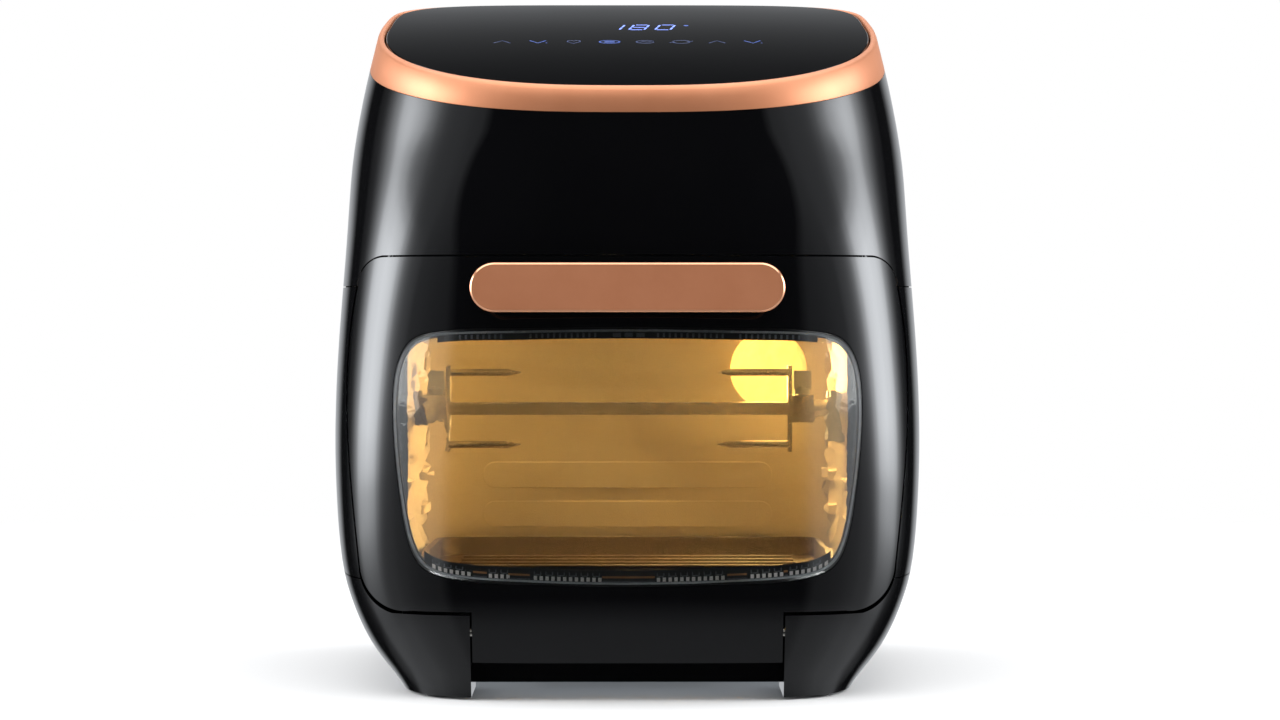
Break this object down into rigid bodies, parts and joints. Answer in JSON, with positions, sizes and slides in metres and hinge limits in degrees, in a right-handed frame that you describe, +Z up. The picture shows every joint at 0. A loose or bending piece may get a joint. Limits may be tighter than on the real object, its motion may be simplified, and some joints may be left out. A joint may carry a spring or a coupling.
{
  "type": "air fryer",
  "caption": "Tall rounded oven-style air fryer with a sloping touch top, a drop-down glass door with a pill-shaped handle, and a rotisserie with forks inside.",
  "frame": {"origin": "middle of the bounding box's bottom face, on the surface that the feet stand on", "axes": "+X to the right seen from the front, +Y from the door to the back, +Z up"},
  "size_m": [0.3204, 0.322, 0.3841],
  "materials": {
    "gloss_black": "glossy moulded black",
    "rose_gold": "satin rose-gold anodised",
    "black_glass": "dark tempered glass, polished",
    "clear_glass": "clear heat-resistant glass",
    "matte_black": "fine matte black",
    "white_plastic": "matte white",
    "chamber_steel": "smooth rolled steel",
    "zinc_steel": "zinc-coated steel",
    "spit_steel": "polished stainless steel",
    "heater_alloy": "dull oxidised alloy",
    "fan_aluminium": "plain rolled",
    "tray_enamel": "dark non-stick coat",
    "board_green": "coated fibreglass board",
    "black_rubber": "matte",
    "grey_silicone": "matte",
    "steatite": "matte ceramic",
    "magnet_nickel": "nickel plated"
  },
  "bodies": {
    "chassis": {"upper_housing": "gloss_black", "top_trim_ring": "rose_gold", "control_glass": "black_glass", "glass_carrier": "matte_black", "display_module": "matte_black", "control_board": "board_green", "touch_contacts": "black_rubber", "side_panel_left": "gloss_black", "side_panel_right": "gloss_black", "rear_cover": "matte_black", "cord_gland": "matte_black", "lower_housing": "gloss_black", "foot_pads": "black_rubber", "base_plate": "zinc_steel", "front_frame": "zinc_steel", "cavity_floor": "chamber_steel", "cavity_wall_left": "chamber_steel", "cavity_wall_right": "chamber_steel", "cavity_back": "chamber_steel", "cavity_ceiling": "chamber_steel", "heater_dome": "zinc_steel", "heater_coil": "heater_alloy", "heater_guard": "chamber_steel", "motor_bracket": "zinc_steel", "fan_motor": "zinc_steel", "temp_sensor": "spit_steel", "thermal_cutout": "fan_aluminium", "power_board": "board_green", "lamp_holder": "steatite", "oven_lamp": "clear_glass", "lamp_lens": "clear_glass", "rotisserie_motor": "zinc_steel", "spit_rest": "chamber_steel", "door_switch": "matte_black", "hinge_blocks": "zinc_steel", "door_magnets": "magnet_nickel", "housing_screws": "spit_steel", "drip_tray": "tray_enamel"},
    "door": {"door_panel": "gloss_black", "door_window": "clear_glass", "window_bezel": "matte_black", "door_inner_frame": "matte_black", "door_inner_glass": "clear_glass", "door_seal": "grey_silicone", "door_screws": "spit_steel", "door_strikes": "zinc_steel", "hinge_pins": "spit_steel", "handle_body": "matte_black", "handle_plate": "rose_gold"},
    "fan_rotor": {"fan_shaft": "spit_steel", "circulation_fan": "fan_aluminium", "cooling_fan": "fan_aluminium"},
    "spit": {"spit_rod": "spit_steel", "drive_socket": "matte_black"},
    "left_fork": {"fork_left": "spit_steel"},
    "right_fork": {"fork_right": "spit_steel"},
    "left_thumbscrew": {"thumbscrew_left": "zinc_steel"},
    "right_thumbscrew": {"thumbscrew_right": "zinc_steel"},
    "switch_plunger": {"door_switch_plunger": "white_plastic"}
  },
  "joints": [
    {"name": "door_hinge", "type": "hinge", "parent": "chassis", "child": "door", "pos_m": [0, -0.123, 0.036], "axis": [1, 0, 0], "range_deg": [0, 88]},
    {"name": "fan_spin", "type": "hinge", "parent": "chassis", "child": "fan_rotor", "pos_m": [0, 0.005, 0.25], "axis": [0, 0, 1], "continuous": true},
    {"name": "spit_spin", "type": "hinge", "parent": "chassis", "child": "spit", "pos_m": [0, 0.005, 0.1475], "axis": [1, 0, 0], "continuous": true},
    {"name": "left_fork_slide", "type": "slide", "parent": "spit", "child": "left_fork", "axis": [1, 0, 0], "range_m": [0, 0.05]},
    {"name": "right_fork_slide", "type": "slide", "parent": "spit", "child": "right_fork", "axis": [-1, 0, 0], "range_m": [0, 0.05]},
    {"name": "left_thumbscrew_turn", "type": "hinge", "parent": "left_fork", "child": "left_thumbscrew", "pos_m": [-0.1075, 0.005, 0.16], "axis": [0, 0, 1], "range_deg": [0, 180]},
    {"name": "right_thumbscrew_turn", "type": "hinge", "parent": "right_fork", "child": "right_thumbscrew", "pos_m": [0.098, 0.005, 0.16], "axis": [0, 0, 1], "range_deg": [0, 180]},
    {"name": "door_switch_travel", "type": "slide", "parent": "chassis", "child": "switch_plunger", "axis": [0, -1, 0], "range_m": [0, 0.0025]}
  ],
  "couplings": [
    {"joint": "door_switch_travel", "follows": "door_hinge", "m_per_rad": 0.0016}
  ]
}
